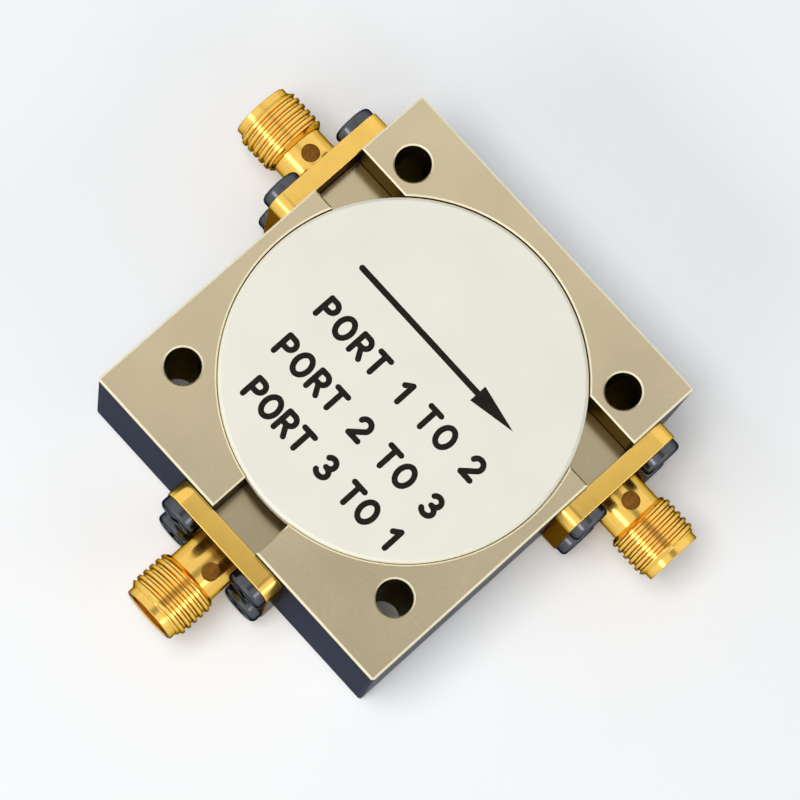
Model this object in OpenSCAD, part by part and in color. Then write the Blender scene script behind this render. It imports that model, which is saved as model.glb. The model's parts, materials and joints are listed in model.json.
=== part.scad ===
// Three-port ferrite junction circulator with flanged coaxial jacks.
// Millimetres. The origin is on the base face, on the axis of the cover and of the mounting holes.
// +X runs from port 1 to port 2, +Y points away from port 3 and +Z is up.

/* [Housing] */
// Width of the housing, from port 1's face to port 2's face
body_w = 35; // [34.6:0.1:40]
// Length of the housing, along port 3's axis
body_l = 38; // [36:0.1:44]
// Height of the housing
body_h = 15; // [13.5:0.1:18]
// Shift of the cover's axis from the middle of the length, away from port 3
axis_shift = 0.75; // [0:0.05:1]
// Chamfer on the housing's outer edges
edge_chamfer = 0.2; // [0.1:0.05:0.5]
// Chamfer on the edges of the slots, the bore and the mounting holes
rim_chamfer = 0.15; // [0.05:0.05:0.3]
// Diameter of the cavity that holds the ferrite stack
cavity_d = 29; // [28:0.1:30]

/* [Mounting holes] */
// Distance between the mounting holes, both ways
hole_pitch = 27; // [26.6:0.1:28]
// Diameter of the mounting holes
hole_d = 3.3; // [2.8:0.1:3.5]

/* [Cover] */
// Diameter of the cover
cover_d = 32.2; // [31:0.1:32.6]
// Thickness of the cover
cover_t = 1.5; // [1.2:0.1:2]
// Depth of the cover's upper face below the housing's
cover_sink = 0.05; // [0:0.01:0.2]
// Gap between the cover and its bore
cover_gap = 0.1; // [0.05:0.05:0.3]
// Chamfer on the cover's upper edge
cover_chamfer = 0.3; // [0.1:0.05:0.5]

/* [Channels] */
// Width of the open slot over each channel
slot_w = 5.5; // [5:0.1:5.8]
// Depth of the slot, down to the channel's block
slot_depth = 4.4; // [3.6:0.1:5]
// Width of the channel that the contact's tail runs in
channel_w = 4; // [3.2:0.1:4.4]
// Gap round each channel's block
block_gap = 0.06; // [0.02:0.01:0.1]

/* [Ferrite stack] */
// Diameter of the ferrite discs
ferrite_d = 18; // [14:0.5:22]
// Thickness of each ferrite disc
ferrite_t = 2.1; // [1.7:0.1:2.4]
// Thickness of each ground plate
ground_t = 0.3; // [0.2:0.05:0.5]
// Thickness of each pole piece
pole_t = 0.8; // [0.5:0.1:1]
// Diameter of the magnets
magnet_d = 26; // [20:0.5:27]
// Thickness of each magnet
magnet_t = 1.6; // [1.2:0.1:2]
// Diameter of the compensation disc under the cover
compensation_d = 24; // [18:0.5:26]
// Gap round the pieces of the stack
stack_gap = 0.1; // [0.05:0.05:0.2]

/* [Centre conductor] */
// Thickness of the strip
strip_t = 0.4; // [0.2:0.05:0.5]
// Diameter of the junction disc
junction_d = 12; // [9:0.5:15]
// Width of the arms
arm_w = 2.6; // [1.6:0.1:3]
// Distance of each arm's elbow from the axis
elbow_r = 8.5; // [7.5:0.1:10]
// Distance of each arm's end from the housing's face
strip_stop = 1.5; // [1:0.1:2]
// Distance of each contact's tail from the cavity
tail_clear = 0.8; // [0.5:0.1:1.5]

/* [Coaxial jacks] */
// Distance of the axis of ports 1 and 2 from the cover's axis
side_port_offset = 8.3; // [7.8:0.1:8.8]
// Side of the square flange
flange_w = 12.7; // [12.4:0.1:12.8]
// Thickness of the flange
flange_t = 1.85; // [1.6:0.05:2]
// Radius of the flange's corners
flange_r = 1.6; // [0.5:0.1:2]
// Diameter of the plain neck next to the flange
neck_d = 5.2; // [4.9:0.05:5.5]
// Length of the neck
neck_l = 2.95; // [2.4:0.05:3.5]
// Outer diameter of the thread
thread_d = 6.35; // [6:0.05:6.5]
// Length of the thread
thread_l = 4.1; // [3.5:0.05:6]
// Diameter of the plain lip at the mouth
lip_d = 5.5; // [5.3:0.05:5.7]
// Length of the lip
lip_l = 0.7; // [0.4:0.05:1]
// Chamfer at the thread's ends
thread_chamfer = 0.35; // [0.1:0.05:0.4]
// Diameter of the mouth
mouth_d = 4.6; // [4.4:0.05:4.8]
// Depth of the mouth, to the face of the insulator
mouth_depth = 1.9; // [1.5:0.05:2.2]
// Diameter of the insulator
dielectric_d = 4.05; // [3.8:0.05:4.2]
// Clearance between pressed, bonded or screwed pieces
fit_gap = 0.02; // [0.01:0.01:0.05]

/* [Centre contacts] */
// Diameter of the contact
contact_d = 1.27; // [1.2:0.01:1.4]
// Diameter of the socket in the contact
socket_d = 0.94; // [0.9:0.01:1]
// Depth of the socket
socket_depth = 2.6; // [2:0.1:3]
// Width of the slits that part the socket's fingers
slit_w = 0.2; // [0.1:0.05:0.25]
// Length of the slits
slit_l = 1.8; // [1:0.1:1.9]
// Depth of the groove that the epoxy locks into
groove_depth = 0.2; // [0.1:0.05:0.25]
// Length by which the tail's flat starts before the strip
flat_lead = 0.3; // [0.1:0.05:0.5]

/* [Epoxy plugs] */
// Diameter of the cross hole in the neck
epoxy_d = 1.7; // [1.2:0.1:2]
// Depth of the epoxy below the neck's surface
epoxy_sink = 0.1; // [0:0.05:0.2]
// Turn of the cross hole of each port from straight up
epoxy_turn = [-4, 4, 22]; // [-45:1:45]

/* [Flange screws] */
// Distance between the flange's screws, both ways
screw_pitch = 8.64; // [8.4:0.02:8.7]
// Diameter of the screws
screw_d = 2; // [1.6:0.1:2.2]
// Length of the screws under the head
screw_l = 3.2; // [2.8:0.1:3.6]
// Depth left under the screws in the tapped holes
screw_spare = 0.4; // [0.2:0.1:0.6]
// Diameter of the clearance holes in the flange
screw_hole_d = 2.4; // [2.3:0.05:2.8]
// Diameter of the heads
head_d = 3.9; // [3.4:0.1:4]
// Height of the heads
head_h = 1; // [0.8:0.1:1.6]
// Radius of the heads' upper edge
head_round = 0.45; // [0.2:0.05:0.7]
// Length of the arms of the cross recess
recess_l = 2.2; // [1.6:0.1:2.4]
// Width of the arms of the cross recess
recess_w = 0.5; // [0.3:0.05:0.6]
// Depth of the cross recess
recess_depth = 0.6; // [0.3:0.1:0.7]
// Turn of the recess from one screw to the next
recess_step = 37; // [0:1:89]

/* [Hidden] */
$fn = 64;
// Overrun of the cutting shapes past the surfaces that they cut
cut = 1;
PORTS = [1, 2, 3];
STACK = [
    "lower_magnet", "lower_pole_piece", "lower_ground_plate", "lower_ferrite", "lower_dielectric_ring",
    "centre_conductor", "upper_ferrite", "upper_dielectric_ring", "upper_ground_plate",
    "upper_pole_piece", "upper_magnet", "compensation_disc"
];
PORT_PIECES = [
    "connector_shell", "connector_dielectric", "centre_contact", "epoxy_plug", "channel_block", "flange_screws"
];

// Height of the strip and of the jacks' axes, half-way up the housing
port_z = body_h / 2;

// Heights of the stack's faces, counted from the strip in the middle
strip_bottom = port_z - strip_t / 2;
strip_top = port_z + strip_t / 2;
lower_ferrite_z = strip_bottom - ferrite_t;
lower_ground_z = lower_ferrite_z - ground_t;
lower_pole_z = lower_ground_z - pole_t;
floor_z = lower_pole_z - magnet_t;
upper_ground_z = strip_top + ferrite_t;
upper_pole_z = upper_ground_z + ground_t;
upper_magnet_z = upper_pole_z + pole_t;
compensation_z = upper_magnet_z + magnet_t;
seat_z = body_h - cover_sink - cover_t;

cavity_r = cavity_d / 2;
plate_d = cavity_d - 2 * stack_gap;
bore_d = cover_d + 2 * cover_gap;
block_top = body_h - slot_depth;

// Outward direction of each port, and the point where its axis crosses the housing's face
port_out = [[-1, 0], [1, 0], [0, -1]];
port_foot = [
    [-body_w / 2, side_port_offset],
    [body_w / 2, side_port_offset],
    [0, -body_l / 2 - axis_shift]
];
arm_angle = [150, 30, -90];

function out(p) = port_out[p - 1];
function foot(p) = port_foot[p - 1];
// Distance of a port's face from the cover's axis, along the port
function wall(p) = foot(p) * out(p);
// Sideways place of a port's axis, seen from the cover's axis
function aside(p) = foot(p) - wall(p) * out(p);
// Point on a port's axis at a given radius from the cover's axis
function on_axis(p, r) = aside(p) + sqrt(r * r - aside(p) * aside(p)) * out(p);
// Depth from a port's face at which its whole slot has opened into the cavity
function reach(p) =
    let (far = norm(aside(p)) + slot_w / 2 + rim_chamfer)
    wall(p) - sqrt(cavity_r * cavity_r - far * far) + stack_gap;

// Stations along a jack's axis, counted outward from the housing's face
thread_u = flange_t + neck_l;
lip_u = thread_u + thread_l;
mouth_u = lip_u + lip_l;
face_u = mouth_u - mouth_depth;
epoxy_u = flange_t + neck_l / 2;
flat_u = flat_lead - strip_stop;
function tail_u(p) = on_axis(p, cavity_r + tail_clear) * out(p) - wall(p);

// Puts its children at a port, with X outward, Y sideways and Z up
module at_port(p) {
    translate([foot(p).x, foot(p).y, port_z])
        rotate([0, 0, atan2(out(p).y, out(p).x)])
            children();
}

// Turns a shape that is drawn along Z so that it lies along a port's axis, with its Y up
module along_axis() {
    rotate([90, 0, 90])
        children();
}

// Repeats its children at the four corners of a square
module at_corners(pitch) {
    for (sx = [-1, 1])
        for (sy = [-1, 1])
            translate([sx * pitch / 2, sy * pitch / 2, 0])
                children();
}

module chamfered_rectangle(w, l, c) {
    polygon([
        [-w / 2 + c, -l / 2], [w / 2 - c, -l / 2], [w / 2, -l / 2 + c], [w / 2, l / 2 - c],
        [w / 2 - c, l / 2], [-w / 2 + c, l / 2], [-w / 2, l / 2 - c], [-w / 2, -l / 2 + c]
    ]);
}

module rounded_square(w, r) {
    square([w, w - 2 * r], center = true);
    square([w - 2 * r, w], center = true);
    for (sx = [-1, 1])
        for (sy = [-1, 1])
            translate([sx * (w / 2 - r), sy * (w / 2 - r)])
                circle(r);
}

module tube(outer_d, inner_d, h) {
    difference() {
        cylinder(d = outer_d, h = h);
        translate([0, 0, -cut])
            cylinder(d = inner_d, h = h + 2 * cut);
    }
}

// Block with all its edges chamfered, standing on the base
module chamfered_block() {
    translate([0, -axis_shift, 0])
        intersection() {
            linear_extrude(body_h)
                chamfered_rectangle(body_w, body_l, edge_chamfer);
            translate([-body_w / 2, 0, body_h / 2])
                rotate([90, 0, 90])
                    linear_extrude(body_w)
                        chamfered_rectangle(body_l, body_h, edge_chamfer);
            translate([0, body_l / 2, body_h / 2])
                rotate([90, 0, 0])
                    linear_extrude(body_l)
                        chamfered_rectangle(body_w, body_h, edge_chamfer);
        }
}

// Section of a channel with its open slot, about the port's axis
module channel_section() {
    low = lower_ferrite_z - port_z;
    ledge = upper_ground_z - port_z;
    top = body_h - port_z;
    half = slot_w / 2;
    polygon([
        [-channel_w / 2, low], [channel_w / 2, low], [channel_w / 2, ledge], [half, ledge],
        [half, top - rim_chamfer], [half + rim_chamfer, top], [half + rim_chamfer, top + cut],
        [-half - rim_chamfer, top + cut], [-half - rim_chamfer, top], [-half, top - rim_chamfer],
        [-half, ledge], [-channel_w / 2, ledge]
    ]);
}

// Through hole with a chamfer at both ends
module mounting_hole() {
    translate([0, 0, -cut])
        cylinder(d = hole_d, h = body_h + 2 * cut);
    translate([0, 0, body_h - rim_chamfer])
        cylinder(d1 = hole_d, d2 = hole_d + 2 * (rim_chamfer + cut), h = rim_chamfer + cut);
    translate([0, 0, -cut])
        cylinder(d1 = hole_d + 2 * (rim_chamfer + cut), d2 = hole_d, h = rim_chamfer + cut);
}

// Cross hole through one side of a neck, from the contact outward
module epoxy_hole(p, d) {
    along_axis()
        rotate([0, 0, -epoxy_turn[p - 1]])
            translate([0, 0, epoxy_u])
                rotate([-90, 0, 0])
                    cylinder(d = d, h = thread_d);
}

module housing() {
    color("#c4b99c")
        difference() {
            chamfered_block();
            translate([0, 0, floor_z])
                cylinder(d = cavity_d, h = body_h);
            translate([0, 0, seat_z])
                cylinder(d = bore_d, h = body_h);
            translate([0, 0, body_h - rim_chamfer])
                cylinder(d1 = bore_d, d2 = bore_d + 2 * (rim_chamfer + cut), h = rim_chamfer + cut);
            at_corners(hole_pitch)
                mounting_hole();
            for (p = PORTS)
                at_port(p)
                    along_axis() {
                        translate([0, 0, -reach(p)])
                            linear_extrude(reach(p) + cut)
                                channel_section();
                        at_corners(screw_pitch)
                            translate([0, 0, flange_t - screw_l - screw_spare])
                                cylinder(d = screw_d + 2 * fit_gap, h = screw_l);
                    }
        }
}

module cover() {
    color("#e6e4dc")
        translate([0, 0, seat_z]) {
            cylinder(d = cover_d, h = cover_t - cover_chamfer);
            translate([0, 0, cover_t - cover_chamfer])
                cylinder(d1 = cover_d, d2 = cover_d - 2 * cover_chamfer, h = cover_chamfer);
        }
}

module magnet(z) {
    color("#4a4a4c")
        translate([0, 0, z])
            cylinder(d = magnet_d, h = magnet_t);
}

module pole_piece(z) {
    color("#8f9194")
        translate([0, 0, z])
            cylinder(d = plate_d, h = pole_t);
}

module ground_plate(z) {
    color("#c9a24b")
        translate([0, 0, z])
            cylinder(d = plate_d, h = ground_t);
}

module ferrite(z) {
    color("#2f2b2a")
        translate([0, 0, z])
            cylinder(d = ferrite_d, h = ferrite_t);
}

module dielectric_ring(z) {
    color("#efe9dc")
        translate([0, 0, z])
            tube(plate_d, ferrite_d + 2 * stack_gap, ferrite_t);
}

module compensation_disc() {
    color("#8f9194")
        translate([0, 0, compensation_z])
            cylinder(d = compensation_d, h = seat_z - compensation_z);
}

// One straight stretch of an arm, with a round end
module arm_stretch(from, to) {
    along = to - from;
    translate(from)
        rotate(atan2(along.y, along.x))
            translate([0, -arm_w / 2])
                square([norm(along), arm_w]);
    translate(from)
        circle(d = arm_w);
}

module centre_conductor() {
    bend_r = cavity_r - arm_w / 2;
    color("#c98f5a")
        translate([0, 0, strip_bottom])
            linear_extrude(strip_t) {
                circle(d = junction_d);
                for (p = PORTS) {
                    elbow = elbow_r * [cos(arm_angle[p - 1]), sin(arm_angle[p - 1])];
                    bend = on_axis(p, bend_r);
                    arm_stretch([0, 0], elbow);
                    arm_stretch(elbow, bend);
                    arm_stretch(bend, foot(p) - strip_stop * out(p));
                }
            }
}

// Half section of a barrel, with the radius along X and the station along Y
module barrel_section() {
    bore_r = dielectric_d / 2 + fit_gap;
    thread_r = thread_d / 2;
    polygon([
        [bore_r, 0], [neck_d / 2, 0], [neck_d / 2, thread_u],
        [thread_r - thread_chamfer, thread_u], [thread_r, thread_u + thread_chamfer],
        [thread_r, lip_u - thread_chamfer], [lip_d / 2, lip_u], [lip_d / 2, mouth_u],
        [mouth_d / 2, mouth_u], [mouth_d / 2, face_u], [bore_r, face_u]
    ]);
}

module connector_shell(p) {
    color("#d8a94f")
        at_port(p)
            difference() {
                along_axis() {
                    rotate_extrude()
                        barrel_section();
                    difference() {
                        linear_extrude(flange_t)
                            rounded_square(flange_w, flange_r);
                        translate([0, 0, -cut])
                            cylinder(d = dielectric_d + 2 * fit_gap, h = flange_t + 2 * cut);
                        at_corners(screw_pitch)
                            translate([0, 0, -cut])
                                cylinder(d = screw_hole_d, h = flange_t + 2 * cut);
                    }
                }
                epoxy_hole(p, epoxy_d);
            }
}

module connector_dielectric(p) {
    color("#f4f2ea")
        at_port(p)
            difference() {
                along_axis()
                    tube(dielectric_d, contact_d + 2 * fit_gap, face_u);
                epoxy_hole(p, epoxy_d);
            }
}

// Half section of a contact, with the socket at the mouth and the epoxy's groove round it
module contact_section(p) {
    contact_r = contact_d / 2;
    groove_r = contact_r - groove_depth;
    socket_r = socket_d / 2;
    polygon([
        [0, tail_u(p)], [contact_r, tail_u(p)], [contact_r, epoxy_u - epoxy_d / 2],
        [groove_r, epoxy_u - epoxy_d / 2], [groove_r, epoxy_u + epoxy_d / 2],
        [contact_r, epoxy_u + epoxy_d / 2], [contact_r, face_u], [socket_r, face_u],
        [socket_r, face_u - socket_depth], [0, face_u - socket_depth]
    ]);
}

module centre_contact(p) {
    color("#e0b45a")
        at_port(p)
            difference() {
                along_axis()
                    rotate_extrude()
                        contact_section(p);
                for (turn = [0, 90])
                    rotate([turn, 0, 0])
                        translate([face_u - slit_l, -slit_w / 2, -contact_d])
                            cube([slit_l + cut, slit_w, 2 * contact_d]);
                translate([tail_u(p) - cut, -contact_d, strip_t / 2 - 2 * contact_d])
                    cube([flat_u - tail_u(p) + cut, 2 * contact_d, 2 * contact_d]);
            }
}

module epoxy_plug(p) {
    groove_r = contact_d / 2 - groove_depth;
    color("#7d5014")
        at_port(p)
            intersection() {
                epoxy_hole(p, epoxy_d - 2 * fit_gap);
                along_axis()
                    tube(neck_d - 2 * epoxy_sink, 2 * (groove_r + fit_gap), mouth_u);
            }
}

module channel_block(p) {
    color("#9c8a70")
        difference() {
            at_port(p)
                translate([-reach(p), -slot_w / 2 + block_gap, upper_ground_z - port_z])
                    cube([reach(p) - block_gap, slot_w - 2 * block_gap, block_top - upper_ground_z]);
            translate([0, 0, floor_z])
                cylinder(d = cavity_d, h = body_h);
        }
}

// Half section of a pan-head screw, with the underside of its head at zero
module screw_section() {
    head_r = head_d / 2;
    steps = 6;
    polygon(concat(
        [[0, -screw_l], [screw_d / 2, -screw_l], [screw_d / 2, 0], [head_r, 0]],
        [for (i = [0:steps])
            let (a = 90 * i / steps)
            [head_r - head_round * (1 - cos(a)), head_h - head_round * (1 - sin(a))]],
        [[0, head_h]]
    ));
}

module screw(turn) {
    difference() {
        rotate_extrude()
            screw_section();
        for (arm = [0, 90])
            rotate([0, 0, turn + arm])
                translate([-recess_l / 2, -recess_w / 2, head_h - recess_depth])
                    cube([recess_l, recess_w, recess_depth + cut]);
    }
}

module flange_screws(p) {
    color("#a9abad")
        at_port(p)
            along_axis()
                for (i = [0:3])
                    translate([(i % 2 - 0.5) * screw_pitch, (floor(i / 2) - 0.5) * screw_pitch, flange_t])
                        screw((4 * p + i) * recess_step);
}

housing();
cover();
magnet(floor_z);  // lower_magnet
pole_piece(lower_pole_z);  // lower_pole_piece
ground_plate(lower_ground_z);  // lower_ground_plate
ferrite(lower_ferrite_z);  // lower_ferrite
dielectric_ring(lower_ferrite_z);  // lower_dielectric_ring
centre_conductor();
ferrite(strip_top);  // upper_ferrite
dielectric_ring(strip_top);  // upper_dielectric_ring
ground_plate(upper_ground_z);  // upper_ground_plate
pole_piece(upper_pole_z);  // upper_pole_piece
magnet(upper_magnet_z);  // upper_magnet
compensation_disc();
for (p = PORTS) {
    connector_shell(p);
    connector_dielectric(p);
    centre_contact(p);
    epoxy_plug(p);
    channel_block(p);
    flange_screws(p);
}
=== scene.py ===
import json
import math

import bmesh
import bpy
from mathutils import Matrix, Vector

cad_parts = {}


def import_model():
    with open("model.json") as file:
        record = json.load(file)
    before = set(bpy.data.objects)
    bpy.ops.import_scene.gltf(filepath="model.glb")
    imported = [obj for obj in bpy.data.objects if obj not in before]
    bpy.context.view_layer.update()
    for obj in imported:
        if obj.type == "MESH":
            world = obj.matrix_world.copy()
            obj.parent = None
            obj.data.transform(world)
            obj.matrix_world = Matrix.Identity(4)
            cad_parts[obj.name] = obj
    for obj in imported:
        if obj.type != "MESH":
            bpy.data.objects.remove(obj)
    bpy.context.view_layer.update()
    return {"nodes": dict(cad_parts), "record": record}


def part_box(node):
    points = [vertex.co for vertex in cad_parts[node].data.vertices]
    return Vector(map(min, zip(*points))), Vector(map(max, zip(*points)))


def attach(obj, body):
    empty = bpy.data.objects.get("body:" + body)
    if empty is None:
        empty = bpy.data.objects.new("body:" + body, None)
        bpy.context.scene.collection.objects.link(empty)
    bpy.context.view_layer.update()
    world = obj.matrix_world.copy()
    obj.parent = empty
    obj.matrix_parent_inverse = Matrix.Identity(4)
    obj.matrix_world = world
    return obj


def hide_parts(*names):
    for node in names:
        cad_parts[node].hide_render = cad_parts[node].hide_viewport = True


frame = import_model()

MM = 0.001
NODES = frame["nodes"]
MOUNTS = {mount["name"]: mount for mount in frame["record"]["mounts"]}
PORTS = (1, 2, 3)

# Sizes of a jack that its box and mounts don't give
FLANGE_T = 1.85 * MM
FLANGE_R = 1.6 * MM
FLANGE_EDGE = 0.1 * MM
NECK_R = 2.6 * MM
NECK_L = 2.95 * MM
LIP_R = 2.75 * MM
LIP_EDGE = 0.08 * MM
BORE_R = 2.045 * MM
SCREW_PITCH = 8.64 * MM
SCREW_HOLE_R = 1.2 * MM
EPOXY_R = 0.85 * MM
EPOXY_TURN = {1: math.radians(-4), 2: math.radians(4), 3: math.radians(22)}

# Thread of a jack. The widths of its crest and root are shares of the pitch.
THREAD_L = 4.1 * MM
THREAD_CHAMFER = 0.35 * MM
THREAD_PITCH = 25.4 * MM / 36
THREAD_DEPTH = 0.25 * MM
THREAD_CREST = 0.375
THREAD_ROOT = 0.25

# Lines of faces in one pitch of the thread, and steps in a turn, a corner or a stroke
THREAD_ROWS = 16
TURN_STEPS = 96
SCREW_HOLE_STEPS = 32
CROSS_HOLE_STEPS = 48
CORNER_STEPS = 8
EDGE_STEPS = 3
ARC_STEPS = 16
PEN_END_STEPS = 8

# Angle up to which two faces of a jack are smooth, and how far a cutter reaches past what it cuts
SMOOTH_ANGLE = math.radians(32)
PAST = 1 * MM
# Points of the thread that lie closer than this are one point
MERGE_GAP = 0.001 * MM

# Ink on the cover: thickness, line widths and places
INK_T = 0.02 * MM
ARROW_Y = 3.88 * MM
ARROW_TAIL_X = -9.6 * MM
ARROW_TIP_X = 9.7 * MM
ARROW_HEAD_L = 4.5 * MM
ARROW_HEAD_W = 1.8 * MM
ARROW_LINE_W = 0.56 * MM
LEGEND_H = 2.5 * MM
LEGEND_LINE_W = 0.52 * MM
# Words of each row of the legend, its left and right ends and the height of its middle line
LEGEND = (
    ("PORT 1 TO 2", -9.6 * MM, 10.6 * MM, -0.85 * MM),
    ("PORT 2 TO 3", -9.6 * MM, 10.6 * MM, -5.75 * MM),
    ("PORT 3 TO 1", -8.6 * MM, 10.0 * MM, -10.25 * MM),
)

# Colours of the finishes. A pair is a darker and a lighter shade.
NICKEL = (0.7, 0.593, 0.386)
# Darker nickel of the channel blocks: a painted shade of the recessed slot floors
SHADED_CHANNEL_NICKEL = (0.55, 0.465, 0.295)
# Outer walls: darker, cooler nickel, a painted reflection of dark surroundings
SHADED_WALL_NICKEL = ((0.39, 0.40, 0.42), (0.50, 0.51, 0.53))
# Chamfers: lighter nickel, a painted highlight of the bright surroundings they mirror
HIGHLIGHT_NICKEL = ((0.90, 0.81, 0.56), (0.97, 0.89, 0.64))
PAINT = (0.865, 0.83, 0.72)
# Edge of the cover: lighter paint, a painted highlight
HIGHLIGHT_PAINT = ((0.95, 0.925, 0.79), (0.985, 0.965, 0.84))
GOLD = (0.95, 0.6, 0.135)
EPOXY = (0.2, 0.085, 0.012)
INSULATOR = (0.87, 0.86, 0.81)
# Screws: steel darkened as a painted shade of the dark surroundings they mirror
SHADED_SCREW_STEEL = (0.1, 0.105, 0.115)
BLACK_INK = (0.014, 0.011, 0.008)
FLOOR_GREYS = (0.965, 0.975)

# Tints of metals at a glancing angle, dark as painted shade: they stand in for the dark surroundings that
# walls, gold flanks and screws mirror at a glance
INNER_WALL_TINT = (0.08, 0.066, 0.04)
OUTER_WALL_TINT = (0.0, 0.015, 0.06)
GOLD_TINT = (0.09, 0.066, 0.035)
SCREW_TINT = (0.12, 0.15, 0.2)

# Values of a noise at which a shade is at its darkest and at its lightest
NOISE_LOW = 0.3
NOISE_HIGH = 0.7

# Lamps: name, place, width and height, watts, and whether metal mirrors it. Each looks at the origin.
LAMPS = (
    ("key", (-0.05, -0.13, 0.56), (0.25, 0.25), 1.85, False),
    ("front", (-0.04, -0.56, 0.38), (0.5, 0.15), 0.9, True),
    ("side", (0.56, 0.05, 0.38), (0.4, 0.15), 0.45, True),
)
SKY_LIGHT = (0.88, 0.94, 1)
SKY_STRENGTH = 0.3
# Where the mirrored sky is dimmest, and its grey at each angle in degrees from there
DIM_SKY = Vector((0.11, 0, 1))
SKY_GREYS = ((17, 1.0), (13, 0.58), (11, 0.41), (0, 0.39))

# Floor: radius, steps round its rim, and a drop that keeps it clear of the base
FLOOR_R = 3
FLOOR_STEPS = 64
FLOOR_DROP = 0.005 * MM

# Camera that the photograph was fitted with
CAMERA_PLACE = Vector((27.16, -64.18, 348.96)) * MM
CAMERA_RIGHT = Vector((0.67441, 0.73371, 0.08506))
CAMERA_DOWN = Vector((0.73467, -0.65442, -0.17995))
CAMERA_FOCAL_PX = 3955
CAMERA_CLIP = 0.01
IMAGE_PX = 800
SENSOR = 36


# Materials

def ramp(tree, value, stops):
    """Colours or grey levels along a value, from (value, colour or grey) stops."""
    node = tree.nodes.new("ShaderNodeValToRGB")
    elements = node.color_ramp.elements
    while len(elements) < len(stops):
        elements.new(0.5)
    for element, (place, color) in zip(elements, stops):
        element.position = place
        element.color = (*color, 1) if hasattr(color, "__len__") else (color, color, color, 1)
    tree.links.new(value, node.inputs["Fac"])
    return node.outputs["Color"]


def larger(tree, first, second):
    """The larger of two values."""
    node = tree.nodes.new("ShaderNodeMath")
    node.operation = "MAXIMUM"
    tree.links.new(first, node.inputs[0])
    tree.links.new(second, node.inputs[1])
    return node.outputs["Value"]


class Shader:
    """A node material with a Principled shader, and short ways to add textures to it."""

    def __init__(self, name, color, metallic=0.0, roughness=0.5):
        self.material = bpy.data.materials.new(name)
        self.material.use_nodes = True
        self.tree = self.material.node_tree
        self.shader = self.tree.nodes["Principled BSDF"]
        self.set("Base Color", (*color, 1))
        self.set("Metallic", metallic)
        self.set("Roughness", roughness)
        self.coords = self.tree.nodes.new("ShaderNodeTexCoord")

    def set(self, socket, value):
        self.shader.inputs[socket].default_value = value

    def link(self, start, end):
        self.tree.links.new(start, end)

    def noise(self, size, detail=3.0, stretch=(1, 1, 1)):
        """Noise whose grains are about size metres wide, drawn out along an axis where stretch is small."""
        mapping = self.tree.nodes.new("ShaderNodeMapping")
        mapping.inputs["Scale"].default_value = stretch
        texture = self.tree.nodes.new("ShaderNodeTexNoise")
        texture.inputs["Scale"].default_value = 1 / size
        texture.inputs["Detail"].default_value = detail
        self.link(self.coords.outputs["Object"], mapping.inputs["Vector"])
        self.link(mapping.outputs["Vector"], texture.inputs["Vector"])
        return texture.outputs["Fac"]

    def ramp(self, value, stops):
        return ramp(self.tree, value, stops)

    def clouded(self, noise, shades):
        """A darker and a lighter shade, mixed by a noise."""
        dark, light = shades
        return self.ramp(noise, [(NOISE_LOW, dark), (NOISE_HIGH, light)])

    def upward(self):
        """How far a face looks up: 1 on a level face, and 0 or less on a wall or an underside."""
        shape = self.tree.nodes.new("ShaderNodeNewGeometry")
        parts = self.tree.nodes.new("ShaderNodeSeparateXYZ")
        self.link(shape.outputs["True Normal"], parts.inputs["Vector"])
        return parts.outputs["Z"]

    def chamfers(self):
        """1 on the faces that slope up at about 45 degrees, and 0 on the rest."""
        return self.ramp(self.upward(), [(0.5, 0.0), (0.6, 1.0), (0.8, 1.0), (0.9, 0.0)])

    def walls(self):
        """1 on walls and undersides, and 0 on the faces that look up."""
        return self.ramp(self.upward(), [(0.2, 1.0), (0.4, 0.0)])

    def not_walls(self):
        """0 on walls and undersides, and 1 on the faces that look up."""
        return self.ramp(self.upward(), [(0.2, 0.0), (0.4, 1.0)])

    def outside(self, box):
        """1 on the four outer sides of an upright box, and 0 inside it."""
        low, high = box
        place = self.coords.outputs["Object"]
        steps = (("SUBTRACT", (low + high) / 2), ("ABSOLUTE", None), ("DIVIDE", (high - low) / 2))
        for operation, value in steps:
            node = self.tree.nodes.new("ShaderNodeVectorMath")
            node.operation = operation
            self.link(place, node.inputs[0])
            if value:
                node.inputs[1].default_value = value
            place = node.outputs["Vector"]
        parts = self.tree.nodes.new("ShaderNodeSeparateXYZ")
        self.link(place, parts.inputs["Vector"])
        reach = larger(self.tree, parts.outputs["X"], parts.outputs["Y"])
        return self.ramp(reach, [(0.98, 0.0), (0.985, 1.0)])

    def mix(self, kind, share, first, second):
        """Two colours in one of Blender's blend types. The share is a number or a mask."""
        mix = self.tree.nodes.new("ShaderNodeMix")
        mix.data_type = "RGBA"
        mix.blend_type = kind
        if isinstance(share, float):
            mix.inputs["Factor"].default_value = share
        else:
            self.link(share, mix.inputs["Factor"])
        self.link(first, mix.inputs["A"])
        self.link(second, mix.inputs["B"])
        return mix.outputs["Result"]

    def paint(self, color):
        self.link(color, self.shader.inputs["Base Color"])

    def rough(self, value, low, high):
        """Roughness between two values, spread by a texture."""
        spread = self.tree.nodes.new("ShaderNodeMapRange")
        spread.inputs["To Min"].default_value = low
        spread.inputs["To Max"].default_value = high
        self.link(value, spread.inputs["Value"])
        self.link(spread.outputs["Result"], self.shader.inputs["Roughness"])

    def bump(self, *layers):
        """Bump from (height, depth in metres, strength) layers, one on the other."""
        below = None
        for height, depth, strength in layers:
            bump = self.tree.nodes.new("ShaderNodeBump")
            bump.inputs["Strength"].default_value = strength
            bump.inputs["Distance"].default_value = depth
            self.link(height, bump.inputs["Height"])
            if below:
                self.link(below, bump.inputs["Normal"])
            below = bump.outputs["Normal"]
        self.link(below, self.shader.inputs["Normal"])


def shades(color, spread):
    """A darker and a lighter shade of a colour."""
    dark = tuple(max(0.0, channel * (1 - spread)) for channel in color)
    light = tuple(min(1.0, channel * (1 + spread)) for channel in color)
    return dark, light


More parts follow.
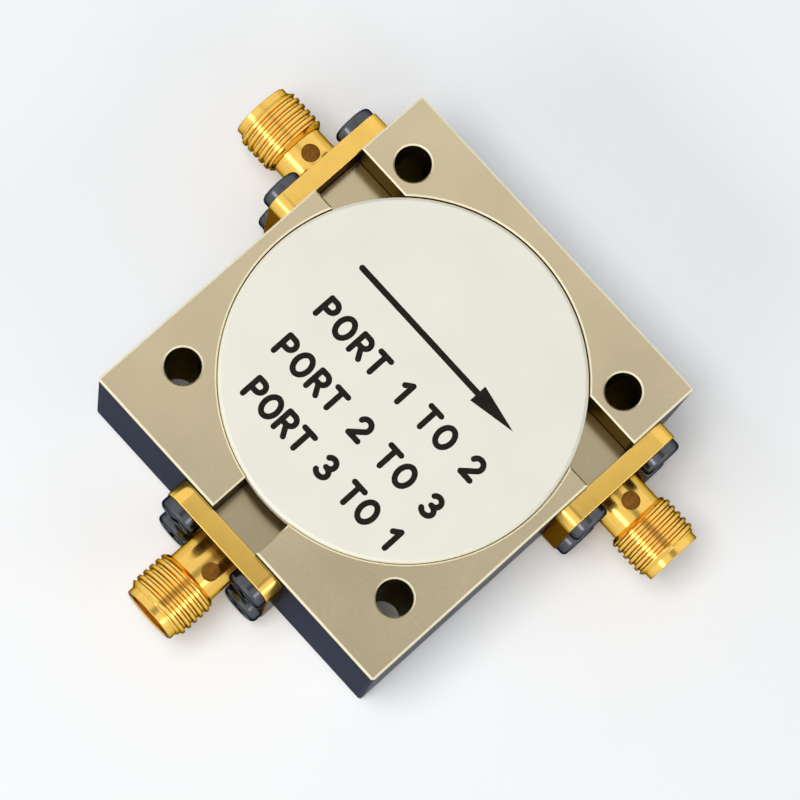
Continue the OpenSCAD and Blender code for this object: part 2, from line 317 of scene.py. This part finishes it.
def nickel_plate(name, color, roughness):
    """Nickel, clouded and finely grained. Chamfers are lightened as a painted highlight; outer walls carry
    fine milling marks and are darker and cooler as a painted reflection of dark surroundings; all walls are
    tinted dark at a glancing angle as painted shade.
    """
    made = Shader(name, color, metallic=1.0, roughness=roughness)
    cloud = made.noise(9 * MM, detail=4)
    grain = made.noise(0.22 * MM, detail=4)
    milling = made.noise(0.3 * MM, detail=3, stretch=(0.03, 0.03, 1))
    speckle = made.ramp(grain, [(0.35, 0.93), (0.65, 1.0)])
    plain = made.mix("MULTIPLY", 0.5, made.clouded(cloud, shades(color, 0.06)), speckle)
    lines = made.ramp(milling, [(0.35, 0.91), (0.65, 1.0)])
    # Outer walls take the darker nickel as a painted reflection, with real milling lines on it
    shaded_milled_walls = made.mix("MULTIPLY", 1.0, made.clouded(cloud, SHADED_WALL_NICKEL), lines)
    # Chamfers take the lighter nickel as a painted highlight
    highlit_chamfers = made.clouded(grain, HIGHLIGHT_NICKEL)
    outside = made.outside(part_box("housing"))
    outer_walls = made.mix("MULTIPLY", 1.0, made.walls(), outside)
    faces = made.mix("MIX", outer_walls, plain, shaded_milled_walls)
    made.paint(made.mix("MIX", made.chamfers(), faces, highlit_chamfers))
    # Walls reflect darker at a glancing angle as painted shade: warm dark in the slots, navy on the outer
    # walls as a painted reflection
    wall_tint = made.ramp(outside, [(0.4, INNER_WALL_TINT), (0.6, OUTER_WALL_TINT)])
    tint = made.mix("LIGHTEN", 1.0, wall_tint, made.not_walls())
    made.link(tint, made.shader.inputs["Specular Tint"])
    made.rough(grain, roughness - 0.05, roughness + 0.05)
    made.bump(
        (grain, 0.004 * MM, 0.25),
        (made.noise(1.6 * MM), 0.006 * MM, 0.2),
        (milling, 0.006 * MM, 0.2),
    )
    return made.material


def white_paint():
    """Satin paint, finely grained, and lighter along its edge as a painted highlight."""
    made = Shader("white_paint", PAINT, roughness=0.55)
    made.set("Specular IOR Level", 0.35)
    grain = made.noise(0.35 * MM, detail=3)
    plain = made.clouded(made.noise(7 * MM, detail=5), shades(PAINT, 0.02))
    highlit_rim = made.clouded(grain, HIGHLIGHT_PAINT)
    # The edge takes the lighter paint as a painted highlight
    made.paint(made.mix("MIX", made.chamfers(), plain, highlit_rim))
    made.rough(grain, 0.48, 0.62)
    made.bump((grain, 0.006 * MM, 0.3))
    return made.material


def gold_plate():
    """Bright gold with fine turning marks."""
    made = Shader("gold_plate", GOLD, metallic=1.0, roughness=0.18)
    # Gold reflects darker at a glancing angle, a painted shade on its flanks
    made.set("Specular Tint", (*GOLD_TINT, 1))
    made.paint(made.clouded(made.noise(1.8 * MM, detail=4), shades(GOLD, 0.05)))
    turning = made.noise(0.05 * MM, detail=2, stretch=(1, 0.02, 0.02))
    grain = made.noise(0.12 * MM, detail=3)
    made.rough(grain, 0.12, 0.24)
    made.bump((turning, 0.002 * MM, 0.1), (grain, 0.002 * MM, 0.2))
    return made.material


def epoxy():
    """Brown, uneven resin."""
    made = Shader("epoxy", EPOXY, roughness=0.5)
    made.set("Specular IOR Level", 0.15)
    made.paint(made.clouded(made.noise(0.3 * MM, detail=4), shades(EPOXY, 0.3)))
    made.bump((made.noise(0.5 * MM), 0.03 * MM, 0.4))
    return made.material


def insulator():
    """White, waxy plastic."""
    made = Shader("insulator", INSULATOR, roughness=0.45)
    made.paint(made.clouded(made.noise(0.8 * MM), shades(INSULATOR, 0.04)))
    made.rough(made.noise(0.1 * MM), 0.38, 0.55)
    made.bump((made.noise(0.06 * MM), 0.004 * MM, 0.3))
    return made.material


def screw_steel():
    """Steel, darkened as a painted shade of the dark surroundings it mirrors, and darker still at a
    glancing angle.
    """
    made = Shader("screw_steel", SHADED_SCREW_STEEL, metallic=1.0, roughness=0.2)
    made.set("Specular Tint", (*SCREW_TINT, 1))
    made.paint(made.clouded(made.noise(0.7 * MM, detail=4), shades(SHADED_SCREW_STEEL, 0.12)))
    made.rough(made.noise(0.15 * MM), 0.13, 0.28)
    made.bump((made.noise(0.08 * MM), 0.003 * MM, 0.3))
    return made.material


def ink():
    """Matt black printing ink."""
    made = Shader("ink", BLACK_INK, roughness=0.7)
    made.set("Specular IOR Level", 0.12)
    made.paint(made.clouded(made.noise(0.5 * MM, detail=5), shades(BLACK_INK, 0.35)))
    made.bump((made.noise(0.12 * MM), 0.004 * MM, 0.3))
    return made.material


def inner_stock(name, color, metallic, roughness, grain):
    """Finish of a piece inside the housing: ground, rolled or sintered stock."""
    made = Shader(name, color, metallic, roughness)
    texture = made.noise(grain, detail=5)
    made.paint(made.clouded(texture, shades(color, 0.15)))
    made.rough(texture, roughness - 0.08, roughness + 0.08)
    made.bump((texture, grain / 20, 0.3))
    return made.material


FINISHES = {
    "nickel_plate": nickel_plate("nickel_plate", NICKEL, 0.24),
    "white_paint": white_paint(),
    "gold_plate": gold_plate(),
    "insulator": insulator(),
    "epoxy": epoxy(),
    "screw_steel": screw_steel(),
    "magnet": inner_stock("magnet", (0.06, 0.06, 0.065), 0.0, 0.55, 0.15 * MM),
    "pole_steel": inner_stock("pole_steel", (0.5, 0.51, 0.52), 1.0, 0.35, 0.2 * MM),
    "ground_brass": inner_stock("ground_brass", (0.72, 0.53, 0.22), 1.0, 0.3, 0.3 * MM),
    "ferrite": inner_stock("ferrite", (0.03, 0.027, 0.025), 0.0, 0.4, 0.1 * MM),
    "ring_ceramic": inner_stock("ring_ceramic", (0.8, 0.77, 0.69), 0.0, 0.5, 0.12 * MM),
    "strip_copper": inner_stock("strip_copper", (0.78, 0.42, 0.25), 1.0, 0.3, 0.25 * MM),
}
# Nickel of the channel blocks, darkened as a painted shade of the slot recesses
SHADED_CHANNEL_PLATE = nickel_plate("channel_plate_painted_shade", SHADED_CHANNEL_NICKEL, 0.17)
INK = ink()

for subpart in frame["record"]["subparts"]:
    mesh = NODES[subpart["node"]].data
    mesh.materials.clear()
    mesh.materials.append(FINISHES[subpart["material_slot"]])
# The channel blocks that floor the slots take the darker nickel, a painted shade of the recess
for port in PORTS:
    NODES[f"channel_block_{port}"].data.materials[0] = SHADED_CHANNEL_PLATE


# Meshes

def new_object(name, bm, finish):
    """An object from a finished bmesh."""
    mesh = bpy.data.meshes.new(name)
    bmesh.ops.recalc_face_normals(bm, faces=bm.faces)
    bm.to_mesh(mesh)
    bm.free()
    mesh.materials.append(finish)
    made = bpy.data.objects.new(name, mesh)
    bpy.context.scene.collection.objects.link(made)
    return made


def loft(bm, rings, climb=0):
    """Closed solid through rings of equally many points, with flat ends.

    A ring that climbs ends where the ring that many places further on starts.
    """
    loops = [[bm.verts.new(point) for point in ring] for ring in rings]
    count = len(loops[0])
    last = len(loops) - 1
    for k in range(last):
        for i in range(count):
            j = (i + 1) % count
            ahead = climb if j == 0 else 0
            near = loops[min(k + ahead, last)][j]
            far = loops[min(k + 1 + ahead, last)][j]
            corners = dict.fromkeys((loops[k][i], near, far, loops[k + 1][i]))
            bm.faces.new(list(corners))
    bm.faces.new(loops[0][::-1])
    bm.faces.new(loops[-1])


def cut(target, tool, operation):
    """Joins a tool to a mesh or cuts it away, and removes the tool."""
    modifier = target.modifiers.new("cut", "BOOLEAN")
    modifier.operation = operation
    modifier.solver = "EXACT"
    modifier.object = tool
    graph = bpy.context.evaluated_depsgraph_get()
    result = bpy.data.meshes.new_from_object(target.evaluated_get(graph))
    target.modifiers.clear()
    old = target.data
    target.data = result
    bpy.data.meshes.remove(old)
    bpy.data.objects.remove(tool)


# Coaxial jacks, drawn with X outward from the housing's face, Y sideways and Z up

THREAD_R = MOUNTS["port_1_thread"]["dims"]["r_mm"] * MM
MOUTH_R = MOUNTS["port_1_mouth"]["dims"]["r_mm"] * MM
MOUTH_DEPTH = MOUNTS["port_1_mouth"]["dims"]["length_mm"] * MM
THREAD_U = FLANGE_T + NECK_L
LIP_U = THREAD_U + THREAD_L
MOUTH_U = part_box("connector_shell_2")[1].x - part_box("housing")[1].x
FACE_U = MOUTH_U - MOUTH_DEPTH
EPOXY_U = FLANGE_T + NECK_L / 2
FLANGE_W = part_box("connector_shell_2")[1].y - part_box("connector_shell_2")[0].y


def circle(u, radius, steps=TURN_STEPS):
    """Ring round the jack's axis."""
    turns = [2 * math.pi * i / steps for i in range(steps)]
    return [(u, radius * math.cos(turn), radius * math.sin(turn)) for turn in turns]


def rod(rings):
    """Solid through rings, in the jack's finish."""
    bm = bmesh.new()
    loft(bm, rings)
    return new_object("rod", bm, FINISHES["gold_plate"])


def thread_row(row):
    """One line along the thread's helix, held between the thread's ends, where it runs out in a chamfer."""
    phase = row / THREAD_ROWS % 1.0
    rise = (abs(2 * phase - 1) - THREAD_ROOT) / (1 - THREAD_CREST - THREAD_ROOT)
    radius = THREAD_R - THREAD_DEPTH * (1 - min(1.0, max(0.0, rise)))
    points = []
    for i in range(TURN_STEPS):
        turn = 2 * math.pi * i / TURN_STEPS
        u = THREAD_U + THREAD_PITCH * (row / THREAD_ROWS - 1 + i / TURN_STEPS)
        u = min(max(u, THREAD_U), LIP_U)
        r = min(radius, THREAD_R - THREAD_CHAMFER + min(u - THREAD_U, LIP_U - u))
        points.append((u, r * math.cos(turn), r * math.sin(turn)))
    return points


def thread():
    """Threaded length of the barrel, as a closed solid."""
    rows = math.ceil(THREAD_ROWS * (1 + THREAD_L / THREAD_PITCH))
    bm = bmesh.new()
    loft(bm, [thread_row(row) for row in range(rows + 1)], climb=THREAD_ROWS)
    bmesh.ops.remove_doubles(bm, verts=bm.verts, dist=MERGE_GAP)
    return new_object("thread", bm, FINISHES["gold_plate"])


def barrel():
    """Solid barrel with neck, thread and lip, from inside the flange to the mouth."""
    rings = [circle(FLANGE_T / 2, NECK_R), circle(LIP_U - LIP_EDGE, NECK_R)]
    rings += [circle(LIP_U - LIP_EDGE, LIP_R), circle(MOUTH_U - LIP_EDGE, LIP_R)]
    rings.append(circle(MOUTH_U, LIP_R - LIP_EDGE))
    made = rod(rings)
    cut(made, thread(), "UNION")
    return made


def rounded_square(u, side, radius):
    """Ring of a square with round corners, across the jack's axis."""
    ring = []
    middle = side / 2 - radius
    for corner in range(4):
        start = corner * math.pi / 2
        y = middle * (1 if corner in (0, 3) else -1)
        z = middle * (1 if corner in (0, 1) else -1)
        for i in range(CORNER_STEPS + 1):
            turn = start + math.pi / 2 * i / CORNER_STEPS
            ring.append((u, y + radius * math.cos(turn), z + radius * math.sin(turn)))
    return ring


def flange():
    """Square plate with round corners and softened edges."""
    edge = []
    for i in range(EDGE_STEPS + 1):
        turn = math.pi / 2 * i / EDGE_STEPS
        inset = FLANGE_EDGE * (1 - math.sin(turn))
        edge.append((FLANGE_EDGE * (1 - math.cos(turn)), inset))
    outline = edge + [(FLANGE_T - u, inset) for u, inset in reversed(edge)]
    bm = bmesh.new()
    loft(bm, [rounded_square(u, FLANGE_W - 2 * inset, FLANGE_R - inset) for u, inset in outline])
    return new_object("flange", bm, FINISHES["gold_plate"])


def jack(port):
    """Flange and threaded barrel in one piece, bored, with its screw holes and its cross hole."""
    made = flange()
    cut(made, barrel(), "UNION")
    bore = [circle(-PAST, BORE_R), circle(FACE_U, BORE_R), circle(FACE_U, MOUTH_R)]
    bore += [circle(MOUTH_U - LIP_EDGE, MOUTH_R), circle(MOUTH_U + PAST, MOUTH_R + LIP_EDGE + PAST)]
    cut(made, rod(bore), "DIFFERENCE")
    for side in (-1, 1):
        for height in (-1, 1):
            hole = rod([circle(u, SCREW_HOLE_R, SCREW_HOLE_STEPS) for u in (-PAST, FLANGE_T + PAST)])
            hole.data.transform(Matrix.Translation((0, side * SCREW_PITCH / 2, height * SCREW_PITCH / 2)))
            cut(made, hole, "DIFFERENCE")
    cross = rod([circle(u, EPOXY_R, CROSS_HOLE_STEPS) for u in (0, THREAD_R)])
    cross.data.transform(Matrix.Rotation(-math.pi / 2, 4, "Y"))
    cross.data.transform(Matrix.Rotation(-EPOXY_TURN[port], 4, "X"))
    cross.data.transform(Matrix.Translation((EPOXY_U, 0, 0)))
    cut(made, cross, "DIFFERENCE")
    made.data.shade_smooth()
    made.data.set_sharp_from_angle(angle=SMOOTH_ANGLE)
    made.modifiers.new("flat_faces", "WEIGHTED_NORMAL").keep_sharp = True
    made.name = f"jack_{port}"
    return made


def port_matrix(port):
    """From a jack's own axes to its place on the housing."""
    mount = MOUNTS[f"port_{port}_thread"]
    out = Vector(mount["axis"])
    foot = Vector(mount["pos_m"]) - out * (THREAD_U + THREAD_L / 2)
    return Matrix.Translation(foot) @ Matrix.Rotation(math.atan2(out.y, out.x), 4, "Z")


for port in PORTS:
    shell = jack(port)
    shell.matrix_world = port_matrix(port)
    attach(shell, "root")
    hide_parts(f"connector_shell_{port}")


# Ink on the cover

COVER_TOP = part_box("cover")[1].z


def arc(x, y, x_radius, y_radius, start, end):
    """Points along an ellipse between two angles in degrees."""
    turns = [math.radians(start + (end - start) * i / ARC_STEPS) for i in range(ARC_STEPS + 1)]
    return [(x + x_radius * math.cos(turn), y + y_radius * math.sin(turn)) for turn in turns]


# Width of each letter and the middle lines of its pen strokes, in shares of the letters' height
STEM = [(0, 0), (0, 1)]
BOWL = [(0, 1), *arc(0.3, 0.735, 0.27, 0.265, 90, -90), (0, 0.47)]
LETTERS = {
    " ": (0.3, []),
    "1": (0.3, [[(0.3, 0), (0.3, 1)], [(0.3, 1), (0, 0.76)]]),
    "2": (0.6, [[*arc(0.3, 0.71, 0.29, 0.29, 165, -35), (0, 0)], [(0, 0), (0.6, 0)]]),
    "3": (0.58, [arc(0.28, 0.75, 0.26, 0.25, 150, -95), arc(0.28, 0.25, 0.3, 0.25, 95, -150)]),
    "O": (0.72, [arc(0.36, 0.5, 0.36, 0.5, -5, 185), arc(0.36, 0.5, 0.36, 0.5, 175, 365)]),
    "P": (0.57, [STEM, BOWL]),
    "R": (0.6, [STEM, BOWL, [(0.3, 0.47), (0.6, 0)]]),
    "T": (0.64, [[(0, 1), (0.64, 1)], [(0.32, 1), (0.32, 0)]]),
}


def half_turn(point, way, radius):
    """Points round the end of a pen stroke, from its left side to its right side."""
    left = Vector((-way.y, way.x))
    turns = [math.pi * i / PEN_END_STEPS for i in range(1, PEN_END_STEPS)]
    return [point + radius * (math.sin(turn) * way + math.cos(turn) * left) for turn in turns]


def pen_stroke(points, width):
    """Outline of a pen stroke with round ends along a middle line."""
    line = [Vector(point) for point in points]
    ways = [(far - near).normalized() for near, far in zip(line, line[1:])]
    left_side = []
    right_side = []
    for point, way_in, way_out in zip(line, [ways[0], *ways], [*ways, ways[-1]]):
        along = (way_in + way_out).normalized()
        aside = Vector((-along.y, along.x)) * (width / 2 / along.dot(way_in))
        left_side.append(point + aside)
        right_side.append(point - aside)
    far_end = half_turn(line[-1], ways[-1], width / 2)
    near_end = half_turn(line[0], -ways[0], width / 2)
    return left_side + far_end + right_side[::-1] + near_end


def print_ink(name, outlines):
    """One layer of ink on the cover, joined from its outlines."""
    made = None
    for outline in outlines:
        bm = bmesh.new()
        loft(bm, [[(x, y, z) for x, y in outline] for z in (0, INK_T)])
        part = new_object(name, bm, INK)
        if made:
            cut(made, part, "UNION")
        else:
            made = part
    made.location.z = COVER_TOP
    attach(made, "root")


def arrow():
    """Barbed arrow that points from port 1 to port 2."""
    neck_x = ARROW_TIP_X - ARROW_HEAD_L
    line = pen_stroke([(ARROW_TAIL_X, ARROW_Y), (neck_x + ARROW_LINE_W, ARROW_Y)], ARROW_LINE_W)
    barb = ARROW_HEAD_W / 2
    head = [(neck_x, ARROW_Y - barb), (ARROW_TIP_X, ARROW_Y), (neck_x, ARROW_Y + barb)]
    print_ink("arrow", [line, head])


def legend(row, words, start_x, end_x, middle_y):
    """One row of the port legend, spaced to fill its length."""
    height = LEGEND_H - LEGEND_LINE_W
    widths = [LETTERS[letter][0] * height for letter in words]
    gap = (end_x - start_x - LEGEND_LINE_W - sum(widths)) / (len(words) - 1)
    outlines = []
    pen_x = start_x + LEGEND_LINE_W / 2
    for letter, width in zip(words, widths):
        for line in LETTERS[letter][1]:
            points = [(pen_x + x * height, middle_y + (y - 0.5) * height) for x, y in line]
            outlines.append(pen_stroke(points, LEGEND_LINE_W))
        pen_x += width + gap
    print_ink(f"legend_{row}", outlines)


arrow()
for row, place in enumerate(LEGEND, start=1):
    legend(row, *place)


# Floor, light and camera

def floor():
    """Plain pale floor."""
    made = Shader("floor", (0.97, 0.97, 0.97), roughness=0.8)
    made.set("Specular IOR Level", 0.1)
    made.paint(made.clouded(made.noise(60 * MM), FLOOR_GREYS))
    bm = bmesh.new()
    bmesh.ops.create_circle(bm, cap_ends=True, segments=FLOOR_STEPS, radius=FLOOR_R)
    plane = new_object("floor", bm, made.material)
    plane.location.z = -FLOOR_DROP


def area_lamp(name, place, size, power, mirrored):
    """Soft lamp. Gloss shows it only where it is mirrored."""
    lamp = bpy.data.lights.new(name, "AREA")
    lamp.shape = "RECTANGLE"
    lamp.size, lamp.size_y = size
    lamp.energy = power
    made = bpy.data.objects.new(name, lamp)
    made.visible_glossy = mirrored
    made.location = place
    made.rotation_euler = (-Vector(place)).to_track_quat("-Z", "Y").to_euler()
    bpy.context.scene.collection.objects.link(made)


def world():
    """Pale surroundings that the camera, metal and glass see, and a softer sky that lights the object."""
    made = bpy.data.worlds.new("studio")
    bpy.context.scene.world = made
    made.use_nodes = True
    tree = made.node_tree
    lit = tree.nodes["Background"]
    lit.inputs["Color"].default_value = (*SKY_LIGHT, 1)
    lit.inputs["Strength"].default_value = SKY_STRENGTH
    seen = tree.nodes.new("ShaderNodeBackground")
    coords = tree.nodes.new("ShaderNodeTexCoord")
    along = tree.nodes.new("ShaderNodeVectorMath")
    along.operation = "DOT_PRODUCT"
    along.inputs[1].default_value = DIM_SKY.normalized()
    tree.links.new(coords.outputs["Generated"], along.inputs[0])
    stops = [(math.cos(math.radians(angle)), grey) for angle, grey in SKY_GREYS]
    tree.links.new(ramp(tree, along.outputs["Value"], stops), seen.inputs["Color"])
    path = tree.nodes.new("ShaderNodeLightPath").outputs
    straight = larger(tree, path["Is Camera Ray"], path["Is Glossy Ray"])
    shown = larger(tree, straight, path["Is Transmission Ray"])
    mix = tree.nodes.new("ShaderNodeMixShader")
    tree.links.new(shown, mix.inputs["Fac"])
    tree.links.new(lit.outputs[0], mix.inputs[1])
    tree.links.new(seen.outputs[0], mix.inputs[2])
    tree.links.new(mix.outputs[0], tree.nodes["World Output"].inputs["Surface"])


def camera():
    """Camera at the photograph's place, with its view."""
    back = -CAMERA_RIGHT.cross(CAMERA_DOWN)
    turn = Matrix((CAMERA_RIGHT, -CAMERA_DOWN, back)).transposed()
    lens = bpy.data.cameras.new("camera")
    lens.sensor_width = SENSOR
    lens.lens = SENSOR * CAMERA_FOCAL_PX / IMAGE_PX
    lens.clip_start = CAMERA_CLIP
    made = bpy.data.objects.new("camera", lens)
    made.matrix_world = Matrix.Translation(CAMERA_PLACE) @ turn.to_4x4()
    bpy.context.scene.collection.objects.link(made)
    bpy.context.scene.camera = made


floor()
world()
for lamp in LAMPS:
    area_lamp(*lamp)
camera()
bpy.context.scene.view_settings.view_transform = "Standard"
